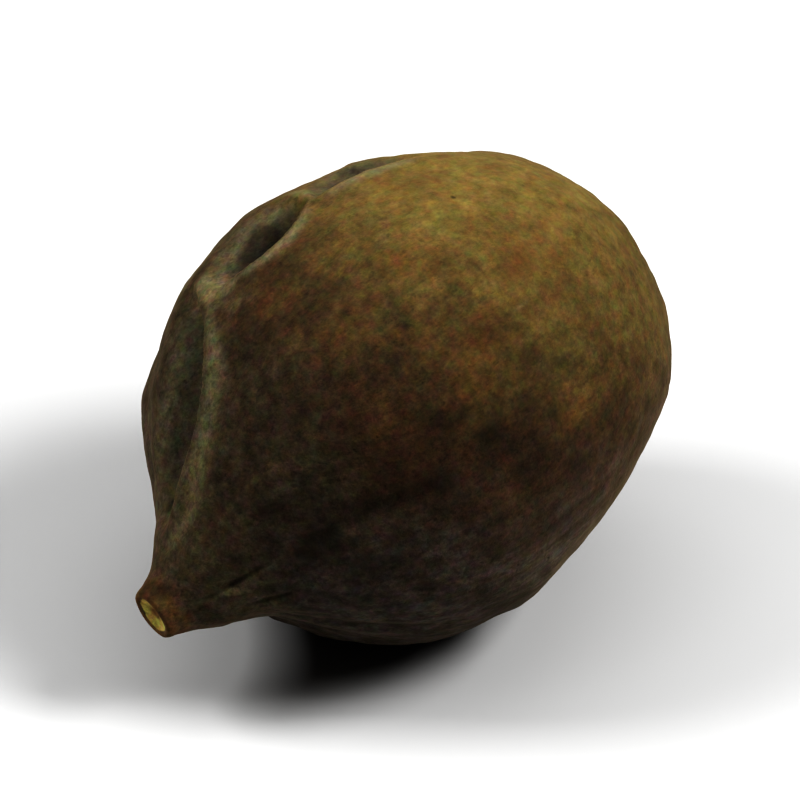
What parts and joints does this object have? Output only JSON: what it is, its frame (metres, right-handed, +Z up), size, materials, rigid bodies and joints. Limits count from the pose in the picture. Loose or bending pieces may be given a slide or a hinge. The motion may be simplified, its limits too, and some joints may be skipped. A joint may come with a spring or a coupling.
{
  "type": "dried beleric fruit",
  "caption": "Egg-shaped dried beleric fruit, one hard body with a short bent beak, a dished stalk scar, a chain of shrunken hollows and low ribs; it lies on a small flat spot.",
  "frame": {"origin": "centre of the small flat spot that the fruit rests on", "axes": "+Z up from the rest spot; +X along the fruit from the stalk end to the far end, seen from above; +Y to complete a right-handed frame"},
  "size_m": [0.0353, 0.0272, 0.027],
  "materials": {
    "skin": "matte, velvety, dusty olive-brown"
  },
  "bodies": {
    "root": {"fruit": "skin"}
  },
  "joints": []
}
